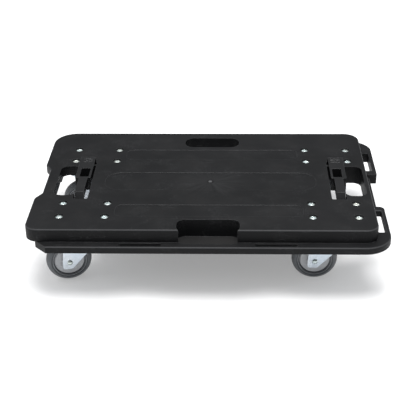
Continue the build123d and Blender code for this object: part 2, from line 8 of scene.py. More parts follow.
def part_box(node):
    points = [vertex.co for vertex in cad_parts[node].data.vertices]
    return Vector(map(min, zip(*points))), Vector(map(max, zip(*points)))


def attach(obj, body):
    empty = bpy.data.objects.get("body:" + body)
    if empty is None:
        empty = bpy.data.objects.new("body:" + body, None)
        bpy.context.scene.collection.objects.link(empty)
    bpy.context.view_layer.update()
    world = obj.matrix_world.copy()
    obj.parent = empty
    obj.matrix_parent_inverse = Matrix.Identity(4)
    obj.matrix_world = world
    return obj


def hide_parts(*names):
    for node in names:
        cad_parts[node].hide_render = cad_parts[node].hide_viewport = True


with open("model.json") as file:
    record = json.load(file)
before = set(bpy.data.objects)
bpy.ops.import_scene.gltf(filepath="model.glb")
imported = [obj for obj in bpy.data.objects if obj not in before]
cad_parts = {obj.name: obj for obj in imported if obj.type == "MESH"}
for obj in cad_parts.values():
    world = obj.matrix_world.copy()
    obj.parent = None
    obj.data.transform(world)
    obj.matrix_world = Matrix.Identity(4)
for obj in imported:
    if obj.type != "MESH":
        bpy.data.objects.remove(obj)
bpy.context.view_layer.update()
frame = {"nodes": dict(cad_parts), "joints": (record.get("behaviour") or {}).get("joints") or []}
nodes = frame["nodes"]
joints = {joint["name"]: joint for joint in frame["joints"]}
cornerNames = ["front_left", "front_right", "rear_left", "rear_right"]
millimetre = 0.001
print("frame loaded:", len(nodes), "nodes")


def addNode(tree, kind, values=None, **settings):
    # values are numbers, colours or sockets to link in
    node = tree.nodes.new(kind)
    for name, value in settings.items():
        setattr(node, name, value)
    for key, value in (values or {}).items():
        if isinstance(value, bpy.types.NodeSocket):
            tree.links.new(value, node.inputs[key])
        else:
            node.inputs[key].default_value = value
    return node


def calc(tree, operation, *values, clamp=False):
    node = addNode(tree, "ShaderNodeMath", dict(enumerate(values)), operation=operation)
    node.use_clamp = clamp
    return node.outputs[0]


def product(tree, first, second):
    return calc(tree, "MULTIPLY", first, second)


def split(tree, vector, *axes):
    parts = addNode(tree, "ShaderNodeSeparateXYZ", {0: vector}).outputs
    return [parts[axis] for axis in axes]


def length(tree, first, second):
    squares = calc(tree, "ADD", calc(tree, "POWER", first, 2.0), calc(tree, "POWER", second, 2.0))
    return calc(tree, "SQRT", squares)


def wave(tree, angle):
    # a sine that runs between nought and one
    return calc(tree, "ADD", product(tree, calc(tree, "SINE", angle), 0.5), 0.5)


def remap(tree, value, fromLow, fromHigh, toLow=0.0, toHigh=1.0):
    span = {"From Min": fromLow, "From Max": fromHigh, "To Min": toLow, "To Max": toHigh}
    node = addNode(tree, "ShaderNodeMapRange", {"Value": value, **span}, interpolation_type="SMOOTHSTEP")
    return node.outputs["Result"]


def mixColour(tree, factor, first, second, blend="MIX"):
    # the colour sockets of a Mix node are its sixth and seventh inputs
    node = tree.nodes.new("ShaderNodeMix")
    node.data_type = "RGBA"
    node.blend_type = blend
    for index, value in ((0, factor), (6, first), (7, second)):
        if isinstance(value, bpy.types.NodeSocket):
            tree.links.new(value, node.inputs[index])
        else:
            node.inputs[index].default_value = value
    return node.outputs[2]


def tint(tree, colour, mask, strength, target):
    return mixColour(tree, product(tree, mask, strength), colour, target)


def darken(tree, colour, tone, least, reach):
    # multiplies the colour by a grey that follows the tone
    shade = calc(tree, "ADD", least, product(tree, tone, reach))
    grey = addNode(tree, "ShaderNodeCombineColor", {0: shade, 1: shade, 2: shade}).outputs[0]
    return mixColour(tree, 1.0, colour, grey, "MULTIPLY")


def noise(tree, vector, scale, detail=2.0, roughness=0.5):
    values = {"Vector": vector, "Scale": scale, "Detail": detail, "Roughness": roughness}
    return addNode(tree, "ShaderNodeTexNoise", values).outputs["Fac"]


def newGroup(name, inputs, outputs):
    # inputs and outputs: name -> (socket kind, default)
    tree = bpy.data.node_groups.new(name, "ShaderNodeTree")
    for direction, sockets in (("INPUT", inputs), ("OUTPUT", outputs)):
        for title, (kind, default) in sockets.items():
            socket = tree.interface.new_socket(title, in_out=direction, socket_type="NodeSocket" + kind)
            if default is not None:
                socket.default_value = default
    start = tree.nodes.new("NodeGroupInput").outputs
    end = tree.nodes.new("NodeGroupOutput").inputs
    return tree, start, end


def useGroup(tree, group, values):
    node = tree.nodes.new("ShaderNodeGroup")
    node.node_tree = group
    for key, value in values.items():
        if isinstance(value, bpy.types.NodeSocket):
            tree.links.new(value, node.inputs[key])
        else:
            node.inputs[key].default_value = value
    return node.outputs


grainValues = {
    "grainScale": 1500.0,
    "flowScale": 7.0,
    "speckRatio": 0.45,
    "speckDetail": 3.0,
    "speckRoughness": 0.6,
    "cellShare": 0.55,
    "flowStretch": (0.6, 1.5, 1.0),
    "flowDetail": 4.0,
    "flowRoughness": 0.55,
    "flowSpan": (0.3, 0.7),
}


def makeMouldGrain():
    # fine spark-eroded texture of a moulding, with slow flow marks
    v = grainValues
    inputs = {
        "Vector": ("Vector", None),
        "Grain Scale": ("Float", v["grainScale"]),
        "Flow Scale": ("Float", v["flowScale"]),
    }
    outputs = {"Grain": ("Float", None), "Flow": ("Float", None)}
    tree, start, end = newGroup("mouldGrain", inputs, outputs)
    place = start["Vector"]
    cells = addNode(tree, "ShaderNodeTexVoronoi", {"Vector": place, "Scale": start["Grain Scale"]})
    speckScale = product(tree, start["Grain Scale"], v["speckRatio"])
    specks = noise(tree, place, speckScale, v["speckDetail"], v["speckRoughness"])
    grain = calc(tree, "ADD", product(tree, cells.outputs["Distance"], v["cellShare"]), specks)
    tree.links.new(grain, end["Grain"])
    stretch = {"Vector": place, "Scale": v["flowStretch"]}
    stretched = addNode(tree, "ShaderNodeMapping", stretch).outputs[0]
    flow = noise(tree, stretched, start["Flow Scale"], v["flowDetail"], v["flowRoughness"])
    tree.links.new(remap(tree, flow, *v["flowSpan"]), end["Flow"])
    return tree


gateValues = {
    "reach": 0.075,
    "streaks": 22.0,
    "dotRadius": 0.0026,
    "ringRadius": 0.0085,
    "raySpan": (0.40, 0.62),
    "fadeStart": 0.004,
    "dotSoftness": 1.4,
}


def makeGateFlow():
    # dot, dark ring and fading streaks round the place where the plastic was let in, at the origin
    v = gateValues
    inputs = {
        "Vector": ("Vector", None),
        "Reach": ("Float", v["reach"]),
        "Streaks": ("Float", v["streaks"]),
        "Dot Radius": ("Float", v["dotRadius"]),
        "Ring Radius": ("Float", v["ringRadius"]),
    }
    outputs = {"Streak": ("Float", None), "Dot": ("Float", None), "Ring": ("Float", None)}
    tree, start, end = newGroup("gateFlow", inputs, outputs)
    x, y = split(tree, start["Vector"], "X", "Y")
    angle = calc(tree, "ARCTAN2", y, x)
    radius = length(tree, x, y)
    turn = {"X": calc(tree, "SINE", angle), "Y": calc(tree, "COSINE", angle)}
    around = addNode(tree, "ShaderNodeCombineXYZ", turn).outputs[0]
    rays = remap(tree, noise(tree, around, start["Streaks"]), *v["raySpan"])
    fade = remap(tree, radius, v["fadeStart"], start["Reach"], 1.0, 0.0)
    tree.links.new(product(tree, rays, fade), end["Streak"])
    soft = product(tree, start["Dot Radius"], v["dotSoftness"])
    tree.links.new(remap(tree, radius, start["Dot Radius"], soft, 1.0, 0.0), end["Dot"])
    tree.links.new(remap(tree, radius, soft, start["Ring Radius"], 1.0, 0.0), end["Ring"])
    return tree


edgeValues = {
    "radius": 0.0008,
    "breakScale": 90.0,
    "samples": 6,
    "turnSpan": (0.015, 0.22),
    "patchDetail": 4.0,
    "patchRoughness": 0.65,
    "patchSpan": (0.42, 0.66),
    "rimRise": (0.15, 0.5),
    "rimFall": (0.86, 0.99),
}


def makeEdgeWearAndHighlight():
    # masks along sharp edges for wear, broken up so that it never runs evenly, and masks for painted
    # highlights on sharp edges and rounded rims
    v = edgeValues
    inputs = {
        "Vector": ("Vector", None),
        "Radius": ("Float", v["radius"]),
        "Break Scale": ("Float", v["breakScale"]),
    }
    outputs = {
        "Edge": ("Float", None),
        "Worn": ("Float", None),
        "Rounded": ("Vector", None),
        "Rim Highlight": ("Float", None),
    }
    tree, start, end = newGroup("edgeWearAndHighlight", inputs, outputs)
    bevel = addNode(tree, "ShaderNodeBevel", {"Radius": start["Radius"]}, samples=v["samples"])
    rounded = bevel.outputs[0]
    plain = tree.nodes.new("ShaderNodeNewGeometry").outputs["Normal"]
    tree.links.new(rounded, end["Rounded"])
    turned = addNode(tree, "ShaderNodeVectorMath", {0: rounded, 1: plain}, operation="DOT_PRODUCT")
    edge = remap(tree, calc(tree, "SUBTRACT", 1.0, turned.outputs["Value"]), *v["turnSpan"])
    tree.links.new(edge, end["Edge"])
    clouds = noise(tree, start["Vector"], start["Break Scale"], v["patchDetail"], v["patchRoughness"])
    tree.links.new(product(tree, edge, remap(tree, clouds, *v["patchSpan"])), end["Worn"])
    # rounded upper rims are the surfaces that slope; this mask paints a highlight on them
    (slope,) = split(tree, plain, "Z")
    rise = remap(tree, slope, *v["rimRise"])
    fall = remap(tree, slope, *v["rimFall"], 1.0, 0.0)
    tree.links.new(product(tree, rise, fall), end["Rim Highlight"])
    return tree


dustValues = {
    "scale": 16.0,
    "cover": 0.5,
    "upwardSpan": (0.35, 0.95),
    "cloudDetail": 6.0,
    "cloudRoughness": 0.62,
    "speckScale": 900.0,
    "speckDetail": 1.0,
    "speckShare": 0.16,
    "patchSpan": (0.45, 0.8),
}


def makeDustFilm():
    # thin dust that settles on faces that look up
    v = dustValues
    inputs = {
        "Vector": ("Vector", None),
        "Scale": ("Float", v["scale"]),
        "Cover": ("Float", v["cover"]),
    }
    tree, start, end = newGroup("dustFilm", inputs, {"Dust": ("Float", None), "Upward": ("Float", None)})
    (height,) = split(tree, tree.nodes.new("ShaderNodeNewGeometry").outputs["Normal"], "Z")
    upward = remap(tree, height, *v["upwardSpan"])
    tree.links.new(upward, end["Upward"])
    clouds = noise(tree, start["Vector"], start["Scale"], v["cloudDetail"], v["cloudRoughness"])
    specks = noise(tree, start["Vector"], v["speckScale"], v["speckDetail"])
    cover = calc(tree, "ADD", clouds, product(tree, specks, v["speckShare"]))
    patches = remap(tree, cover, *v["patchSpan"])
    tree.links.new(product(tree, product(tree, upward, patches), start["Cover"]), end["Dust"])
    return tree


scuffValues = {
    "scale": 30.0,
    "width": 0.012,
    "directions": ((0.35, (1.0, 14.0, 3.0)), (-0.8, (16.0, 1.2, 3.0))),
    "streakDetail": 1.0,
    "patchScale": 24.0,
    "patchDetail": 3.0,
    "patchSpan": (0.5, 0.62),
}


def makeScuffMarks():
    # short hairline marks in two crossing directions
    v = scuffValues
    inputs = {"Vector": ("Vector", None), "Scale": ("Float", v["scale"]), "Width": ("Float", v["width"])}
    tree, start, end = newGroup("scuffMarks", inputs, {"Marks": ("Float", None)})
    marks = []
    for angle, stretch in v["directions"]:
        values = {"Vector": start["Vector"], "Rotation": (0.0, 0.0, angle), "Scale": stretch}
        turned = addNode(tree, "ShaderNodeMapping", values).outputs[0]
        streak = noise(tree, turned, start["Scale"], v["streakDetail"])
        offCentre = calc(tree, "ABSOLUTE", calc(tree, "SUBTRACT", streak, 0.5))
        marks.append(calc(tree, "LESS_THAN", offCentre, start["Width"]))
    clouds = noise(tree, start["Vector"], v["patchScale"], v["patchDetail"])
    patches = remap(tree, clouds, *v["patchSpan"])
    tree.links.new(product(tree, calc(tree, "MAXIMUM", *marks), patches), end["Marks"])
    return tree


zincValues = {
    "crystalScale": 260.0,
    "cool": (0.60, 0.66, 0.74, 1.0),
    "warm": (0.72, 0.72, 0.68, 1.0),
    "driftScale": 28.0,
    "driftDetail": 3.0,
    "driftSpan": (0.35, 0.7),
    "shade": (0.86, 0.14),
    "drawnStretch": (1.0, 1.0, 0.06),
    "drawnScale": 900.0,
    "drawnRoughness": 0.6,
}


def makeZincFinish():
    # zinc plating: faint crystals, a drawn grain and a colour cast that drifts
    v = zincValues
    inputs = {
        "Vector": ("Vector", None),
        "Crystal Scale": ("Float", v["crystalScale"]),
        "Cool": ("Color", v["cool"]),
        "Warm": ("Color", v["warm"]),
    }
    outputs = {"Colour": ("Color", None), "Crystals": ("Float", None), "Grain": ("Float", None)}
    tree, start, end = newGroup("zincFinish", inputs, outputs)
    place = start["Vector"]
    cells = addNode(tree, "ShaderNodeTexVoronoi", {"Vector": place, "Scale": start["Crystal Scale"]})
    tone = addNode(tree, "ShaderNodeSeparateColor", {0: cells.outputs["Color"]}).outputs[0]
    drift = remap(tree, noise(tree, place, v["driftScale"], v["driftDetail"]), *v["driftSpan"])
    cast = mixColour(tree, drift, start["Cool"], start["Warm"])
    tree.links.new(darken(tree, cast, tone, *v["shade"]), end["Colour"])
    tree.links.new(tone, end["Crystals"])
    drawn = addNode(tree, "ShaderNodeMapping", {"Vector": place, "Scale": v["drawnStretch"]}).outputs[0]
    tree.links.new(noise(tree, drawn, v["drawnScale"], 2.0, v["drawnRoughness"]), end["Grain"])
    return tree


ringValues = {"pitch": 1.1, "wobbleScale": 60.0, "wobble": 0.8, "ribs": 120.0}


def makeTurnedRings():
    # distance from the axle in millimetres, and fine concentric marks. The axle runs along Y
    v = ringValues
    inputs = {"Vector": ("Vector", None), "Pitch": ("Float", v["pitch"])}
    outputs = {"Radius": ("Float", None), "Rings": ("Float", None), "Spokes": ("Float", None)}
    tree, start, end = newGroup("turnedRings", inputs, outputs)
    x, z = split(tree, start["Vector"], "X", "Z")
    radius = product(tree, length(tree, x, z), 1 / millimetre)
    tree.links.new(radius, end["Radius"])
    wobble = product(tree, noise(tree, start["Vector"], v["wobbleScale"]), v["wobble"])
    turns = calc(tree, "DIVIDE", calc(tree, "ADD", radius, wobble), start["Pitch"])
    tree.links.new(wave(tree, product(tree, turns, tau)), end["Rings"])
    angle = calc(tree, "ARCTAN2", z, x)
    tree.links.new(wave(tree, product(tree, angle, v["ribs"])), end["Spokes"])
    return tree


mouldGrain = makeMouldGrain()
gateFlow = makeGateFlow()
edgeWearAndHighlight = makeEdgeWearAndHighlight()
dustFilm = makeDustFilm()
scuffMarks = makeScuffMarks()
zincFinish = makeZincFinish()
turnedRings = makeTurnedRings()
print("surface effects built")


def startMaterial(name, settings):
    # settings that are the same all over go straight on the shader
    material = bpy.data.materials.new(name)
    material.use_nodes = True
    tree = material.node_tree
    shader = tree.nodes["Principled BSDF"]
    for key, value in settings.items():
        shader.inputs[key].default_value = value
    place = tree.nodes.new("ShaderNodeTexCoord").outputs["Object"]
    return material, tree, shader, place


def addRelief(tree, shader, normal, layers):
    # layers: (height socket, depth in metres), from the coarsest to the finest
    for height, depth in layers:
        values = {"Height": height, "Strength": 1.0, "Distance": depth, "Normal": normal}
        normal = addNode(tree, "ShaderNodeBump", values).outputs[0]
    tree.links.new(normal, shader.inputs["Normal"])


def blackMoulding(name, look):
    settings = {"IOR": look["ior"], "Specular IOR Level": look["gloss"]}
    material, tree, shader, place = startMaterial(name, settings)
    grain = useGroup(tree, mouldGrain, {"Vector": place, "Grain Scale": look["grainScale"]})
    wear = useGroup(tree, edgeWearAndHighlight, {"Vector": place, "Radius": look["edgeRadius"]})
    dust = useGroup(tree, dustFilm, {"Vector": place, "Cover": look["dust"]})
    scuffs = useGroup(tree, scuffMarks, {"Vector": place})
    fromGate = {0: place, 1: look["gate"]}
    centred = addNode(tree, "ShaderNodeVectorMath", fromGate, operation="SUBTRACT").outputs[0]
    gate = useGroup(tree, gateFlow, {"Vector": centred})
    colour = mixColour(tree, grain["Flow"], look["dark"], look["light"])
    marks = [
        (gate["Streak"], "streak", "wornAndHighlight"),
        (gate["Ring"], "gateRing", "gateRingDark"),
        (gate["Dot"], "gateDot", "wornAndHighlight"),
        # the edge and rim marks paint highlights along sharp edges and rounded rims; the wear mark is
        # partly real wear and partly a painted highlight
        (wear["Edge"], "edge", "wornAndHighlight"),
        (wear["Rim Highlight"], "rim", "wornAndHighlight"),
        (wear["Worn"], "wear", "wornAndHighlight"),
        (scuffs["Marks"], "scuff", "wornAndHighlight"),
    ]
    for mask, strength, target in marks:
        colour = tint(tree, colour, mask, look[strength], look[target])
    colour = mixColour(tree, dust["Dust"], colour, look["dustAndSheenColour"])
    # low floors that face up, such as the pocket floor and the ledge top, are lightened towards the dust
    # colour as a painted sheen
    (height,) = split(tree, place, "Z")
    lowFloorSheenMask = product(tree, remap(tree, height, *look["sunkHeights"], 1.0, 0.0), dust["Upward"])
    colour = tint(tree, colour, lowFloorSheenMask, look["lowFloorSheen"], look["dustAndSheenColour"])
    tree.links.new(colour, shader.inputs["Base Color"])
    rough = calc(tree, "ADD", look["roughness"], product(tree, grain["Flow"], look["flowRough"]))
    rough = calc(tree, "ADD", rough, product(tree, dust["Dust"], look["dustRough"]))
    rough = calc(tree, "SUBTRACT", rough, product(tree, wear["Edge"], look["edgeSmooth"]), clamp=True)
    tree.links.new(rough, shader.inputs["Roughness"])
    layers = [(grain["Flow"], look["flowDepth"]), (grain["Grain"], look["grainDepth"])]
    addRelief(tree, shader, wear["Rounded"], layers)
    return material


def platedSteel(name, look):
    material, tree, shader, place = startMaterial(name, {"IOR": look["ior"]})
    finish = {"Crystal Scale": look["crystals"], "Cool": look["cool"], "Warm": look["warm"]}
    zinc = useGroup(tree, zincFinish, {"Vector": place, **finish})
    wear = useGroup(tree, edgeWearAndHighlight, {"Vector": place, "Radius": look["edgeRadius"]})
    dust = useGroup(tree, dustFilm, {"Vector": place, "Cover": look["dust"], "Scale": look["dustScale"]})
    scratches = {"Scale": look["scuffScale"], "Width": look["scuffWidth"]}
    scuffs = useGroup(tree, scuffMarks, {"Vector": place, **scratches})
    colour = tint(tree, zinc["Colour"], wear["Worn"], look["wear"], look["wornAndHighlight"])
    colour = tint(tree, colour, scuffs["Marks"], look["scuff"], look["wornAndHighlight"])
    colour = mixColour(tree, dust["Dust"], colour, look["dustAndSheenColour"])
    tree.links.new(colour, shader.inputs["Base Color"])
    dulled = product(tree, dust["Dust"], look["dustDulls"])
    metal = calc(tree, "SUBTRACT", look["metallic"], dulled, clamp=True)
    tree.links.new(metal, shader.inputs["Metallic"])
    rough = calc(tree, "ADD", look["roughness"], product(tree, zinc["Crystals"], look["crystalRough"]))
    rough = calc(tree, "ADD", rough, product(tree, zinc["Grain"], look["grainRough"]), clamp=True)
    tree.links.new(rough, shader.inputs["Roughness"])
    layers = [(zinc["Crystals"], look["crystalDepth"]), (zinc["Grain"], look["grainDepth"])]
    addRelief(tree, shader, wear["Rounded"], layers)
    return material


polishLook = {
    "smearDetail": 4.0,
    "smearRoughness": 0.6,
    "smearSpan": (0.4, 0.65),
    "scuffScale": 140.0,
    "scuffWidth": 0.014,
    "scuff": 0.4,
    "roughness": (0.14, 0.36),
    "edgeRadius": 0.0003,
    "grainScale": 500.0,
    "grainDepth": 0.00001,
}


def polishedSteel(name, look):
    # balls and sleeves, greased and lightly marked
    v = polishLook
    material, tree, shader, place = startMaterial(name, {"Metallic": 1.0})
    clouds = noise(tree, place, look["smearScale"], v["smearDetail"], v["smearRoughness"])
    smear = remap(tree, clouds, *v["smearSpan"])
    scratches = {"Scale": v["scuffScale"], "Width": v["scuffWidth"]}
    scuffs = useGroup(tree, scuffMarks, {"Vector": place, **scratches})
    colour = mixColour(tree, smear, look["clean"], look["greased"])
    colour = tint(tree, colour, scuffs["Marks"], v["scuff"], look["clean"])
    tree.links.new(colour, shader.inputs["Base Color"])
    tree.links.new(remap(tree, smear, 0.0, 1.0, *v["roughness"]), shader.inputs["Roughness"])
    wear = useGroup(tree, edgeWearAndHighlight, {"Vector": place, "Radius": v["edgeRadius"]})
    addRelief(tree, shader, wear["Rounded"], [(noise(tree, place, v["grainScale"]), v["grainDepth"])])
    return material


def axleCoordinates(tree, place, corner):
    # moves the pattern to the wheel's axle and turns it so that the axle lies along Y
    spin = joints[corner + "_wheel_spin"]
    turn = -Vector(spin["axis"]).xy.angle_signed(Vector((0.0, 1.0)))
    fromAxle = {0: place, 1: tuple(spin["pos_m"])}
    moved = addNode(tree, "ShaderNodeVectorMath", fromAxle, operation="SUBTRACT").outputs[0]
    values = {"Vector": moved, "Rotation": (0.0, 0.0, turn)}
    return addNode(tree, "ShaderNodeMapping", values).outputs[0]


# radii in millimetres, as the turned rings give them
coreLook = {
    "ior": 1.5,
    "hub": (0.420, 0.430, 0.444, 1.0),
    "rim": (0.085, 0.092, 0.100, 1.0),
    # ring: a thin lighter band painted at ringRadius as a highlight on the rim, and the colour that wear
    # lightens towards
    "ring": (0.300, 0.307, 0.318, 1.0),
    "grime": (0.16, 0.15, 0.135, 1.0),
    "rimStart": 24.6,
    "rimBlend": 0.3,
    "ringRadius": 27.5,
    "ringWidth": 0.55,
    "pitch": 1.6,
    "grainScale": 1300.0,
    "flowScale": 30.0,
    "edgeRadius": 0.0006,
    "edgeBreak": 160.0,
    "dust": 0.25,
    "dustScale": 60.0,
    "mottle": (0.88, 0.2),
    "wear": 0.35,
    "roughness": (0.40, 0.52),
    "turnedDepth": 0.00005,
    "grainDepth": 0.00003,
}


def wheelPlastic(corner):
    v = coreLook
    material, tree, shader, place = startMaterial(corner + "WheelPlastic", {"IOR": v["ior"]})
    centred = axleCoordinates(tree, place, corner)
    turned = useGroup(tree, turnedRings, {"Vector": centred, "Pitch": v["pitch"]})
    texture = {"Grain Scale": v["grainScale"], "Flow Scale": v["flowScale"]}
    grain = useGroup(tree, mouldGrain, {"Vector": centred, **texture})
    rubbed = {"Radius": v["edgeRadius"], "Break Scale": v["edgeBreak"]}
    wear = useGroup(tree, edgeWearAndHighlight, {"Vector": centred, **rubbed})
    dust = useGroup(tree, dustFilm, {"Vector": place, "Cover": v["dust"], "Scale": v["dustScale"]})
    isRim = remap(tree, turned["Radius"], v["rimStart"] - v["rimBlend"], v["rimStart"] + v["rimBlend"])
    # the thin lighter band at ringRadius is a painted highlight on the rim
    offRing = calc(tree, "ABSOLUTE", calc(tree, "SUBTRACT", turned["Radius"], v["ringRadius"]))
    ringHighlightMask = remap(tree, offRing, 0.0, v["ringWidth"], 1.0, 0.0)
    colour = mixColour(tree, isRim, v["hub"], v["rim"])
    colour = mixColour(tree, ringHighlightMask, colour, v["ring"])
    colour = darken(tree, colour, grain["Flow"], *v["mottle"])
    colour = tint(tree, colour, wear["Worn"], v["wear"], v["ring"])
    colour = mixColour(tree, dust["Dust"], colour, v["grime"])
    tree.links.new(colour, shader.inputs["Base Color"])
    tree.links.new(remap(tree, turned["Rings"], 0.0, 1.0, *v["roughness"]), shader.inputs["Roughness"])
    layers = [(turned["Rings"], v["turnedDepth"]), (grain["Grain"], v["grainDepth"])]
    addRelief(tree, shader, wear["Rounded"], layers)
    return material


tyreLook = {
    "ior": 1.5,
    "gloss": 0.35,
    "rubber": (0.092, 0.100, 0.108, 1.0),
    "rubberLight": (0.125, 0.133, 0.141, 1.0),
    "grime": (0.16, 0.15, 0.135, 1.0),
    "treadSpan": (34.5, 37.1),
    "pitch": 0.9,
    "grainScale": 1100.0,
    "flowScale": 26.0,
    "scuffScale": 70.0,
    "scuffWidth": 0.016,
    "scuff": 0.3,
    "dirtScale": 75.0,
    "dirtDetail": 5.0,
    "dirtRoughness": 0.65,
    "dirtSpan": (0.42, 0.7),
    "dirt": 0.35,
    "roughness": (0.55, 0.8),
    "ribs": 0.3,
    "edgeRadius": 0.0005,
    "ribDepth": 0.00010,
    "turnedDepth": 0.00002,
    "grainDepth": 0.00004,
}


def tyreRubber(corner):
    v = tyreLook
    settings = {"IOR": v["ior"], "Specular IOR Level": v["gloss"]}
    material, tree, shader, place = startMaterial(corner + "TyreRubber", settings)
    centred = axleCoordinates(tree, place, corner)
    turned = useGroup(tree, turnedRings, {"Vector": centred, "Pitch": v["pitch"]})
    texture = {"Grain Scale": v["grainScale"], "Flow Scale": v["flowScale"]}
    grain = useGroup(tree, mouldGrain, {"Vector": centred, **texture})
    scratches = {"Scale": v["scuffScale"], "Width": v["scuffWidth"]}
    scuffs = useGroup(tree, scuffMarks, {"Vector": centred, **scratches})
    colour = mixColour(tree, grain["Flow"], v["rubber"], v["rubberLight"])
    rolled = remap(tree, turned["Radius"], *v["treadSpan"])
    clouds = noise(tree, centred, v["dirtScale"], v["dirtDetail"], v["dirtRoughness"])
    dirty = product(tree, rolled, remap(tree, clouds, *v["dirtSpan"]))
    colour = tint(tree, colour, dirty, v["dirt"], v["grime"])
    colour = tint(tree, colour, scuffs["Marks"], v["scuff"], v["grime"])
    tree.links.new(colour, shader.inputs["Base Color"])
    tree.links.new(remap(tree, dirty, 0.0, 1.0, *v["roughness"]), shader.inputs["Roughness"])
    tread = product(tree, turned["Spokes"], product(tree, rolled, v["ribs"]))
    wear = useGroup(tree, edgeWearAndHighlight, {"Vector": centred, "Radius": v["edgeRadius"]})
    layers = [
        (tread, v["ribDepth"]),
        (turned["Rings"], v["turnedDepth"]),
        (grain["Grain"], v["grainDepth"]),
    ]
    addRelief(tree, shader, wear["Rounded"], layers)
    return material


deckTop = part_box("deck")[1].z
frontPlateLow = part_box("front_left_mounting_plate")[0]
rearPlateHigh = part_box("rear_left_mounting_plate")[1]
deckLook = {
    "gate": (0.0, (frontPlateLow.y + rearPlateHigh.y) / 2, deckTop),
    "dark": (0.0052, 0.0054, 0.0058, 1.0),
    # the darker tone of the ring round the gate dot
    "light": (0.0074, 0.0076, 0.0082, 1.0),
    "gateRingDark": (0.0030, 0.0031, 0.0033, 1.0),
    # the lighter colour of wear, scuffs and gate marks, also painted along edges and rims as a highlight
    "wornAndHighlight": (0.070, 0.071, 0.074, 1.0),
    # edge and rim: how strongly sharp edges and rounded rims get a painted highlight
    "edge": 0.42,
    "rim": 0.42,
    "streak": 0.16,
    "gateRing": 0.90,
    "gateDot": 0.85,
    # sunkHeights marks the low floors facing up, which the next strength lightens with a painted sheen
    # in the dust colour
    "sunkHeights": (0.096, 0.100),
    "lowFloorSheen": 0.07,
    "dustAndSheenColour": (0.12, 0.115, 0.11, 1.0),
    "ior": 1.49,
    "gloss": 0.13,
    "roughness": 0.46,
    "flowRough": 0.06,
    "dustRough": 0.25,
    "edgeSmooth": 0.10,
    "grainScale": 1500.0,
    "flowDepth": 0.00008,
    "grainDepth": 0.00005,
    "edgeRadius": 0.0013,
    # wear: broken edge wear, partly real wear and partly a painted highlight along the edges
    "wear": 0.55,
    "scuff": 0.16,
    "dust": 0.03,
}
hookLook = dict(deckLook, gloss=0.22, roughness=0.36, grainDepth=0.00002, wear=0.8, dust=0.02)
plateLook = {
    "crystals": 240.0,
    "cool": (0.58, 0.65, 0.72, 1.0),
    "warm": (0.66, 0.69, 0.72, 1.0),
    "wornAndHighlight": (0.42, 0.42, 0.42, 1.0),
    "ior": 2.2,
    "metallic": 0.92,
    "roughness": 0.30,
    "crystalRough": 0.10,
    "grainRough": 0.08,
    "crystalDepth": 0.000012,
    "grainDepth": 0.00002,
    "edgeRadius": 0.0006,
    "wear": 0.5,
    "scuff": 0.25,
    "scuffScale": 90.0,
    "scuffWidth": 0.01,
    "dust": 0.2,
    "dustScale": 60.0,
    "dustAndSheenColour": (0.30, 0.29, 0.27, 1.0),
    "dustDulls": 0.5,
}
screwTones = {"cool": (0.60, 0.70, 0.70, 1.0), "warm": (0.72, 0.74, 0.68, 1.0)}
screwLook = dict(plateLook, **screwTones, crystals=900.0, roughness=0.24)
nutLook = dict(screwLook, crystals=700.0, roughness=0.33)
ballLook = {"clean": (0.74, 0.74, 0.75, 1.0), "greased": (0.42, 0.36, 0.24, 1.0), "smearScale": 160.0}
sleeveLook = {"clean": (0.60, 0.61, 0.63, 1.0), "greased": (0.33, 0.31, 0.27, 1.0), "smearScale": 90.0}

deckPlastic = blackMoulding("deckPlastic", deckLook)
hookPlastic = blackMoulding("hookPlastic", hookLook)
plateZinc = platedSteel("plateZinc", plateLook)
forkZinc = platedSteel("forkZinc", dict(plateLook, roughness=0.34, crystals=200.0))
screwZinc = platedSteel("screwZinc", screwLook)
nutZinc = platedSteel("nutZinc", nutLook)
washerZinc = platedSteel("washerZinc", dict(nutLook, roughness=0.28))
pinSteel = platedSteel("pinSteel", dict(plateLook, crystals=500.0, roughness=0.26))
boltSteel = platedSteel("boltSteel", dict(screwLook, roughness=0.20))
ballSteel = polishedSteel("ballSteel", ballLook)
sleeveSteel = polishedSteel("sleeveSteel", sleeveLook)


def paint(nodeName, material):
    for slot in nodes[nodeName].material_slots:
        slot.material = material


paint("deck", deckPlastic)
for side in ("left", "right"):
    paint(side + "_strap_hook", hookPlastic)
paint("deck_screws", screwZinc)
paint("deck_nuts", nutZinc)
paint("deck_washers", washerZinc)
cornerFinishes = {
    "mounting_plate": plateZinc,
    "upper_balls": ballSteel,
    "lower_balls": ballSteel,
    "lower_race": plateZinc,
    "king_pin": pinSteel,
    "fork": forkZinc,
    "axle_bolt": boltSteel,
    "axle_nut": nutZinc,
    "axle_sleeve": sleeveSteel,
}
for corner in cornerNames:
    for part, finish in cornerFinishes.items():
        paint(corner + "_" + part, finish)
    paint(corner + "_wheel_core", wheelPlastic(corner))
    paint(corner + "_tyre", tyreRubber(corner))
print("materials assigned")


def finishMesh(name, mesh, smoothAngle=radians(32)):
    mesh.shade_smooth()
    mesh.set_sharp_from_angle(angle=smoothAngle)
    piece = bpy.data.objects.new(name, mesh)
    bpy.context.scene.collection.objects.link(piece)
    return piece


def joinLoops(build, pairs, count):
    for inner, outer in pairs:
        for facet in range(count):
            after = (facet + 1) % count
            build.faces.new((inner[facet], outer[facet], outer[after], inner[after]))


def closeMesh(build, name):
    bmesh.ops.recalc_face_normals(build, faces=build.faces)
    mesh = bpy.data.meshes.new(name)
    build.to_mesh(mesh)
    build.free()
    return mesh


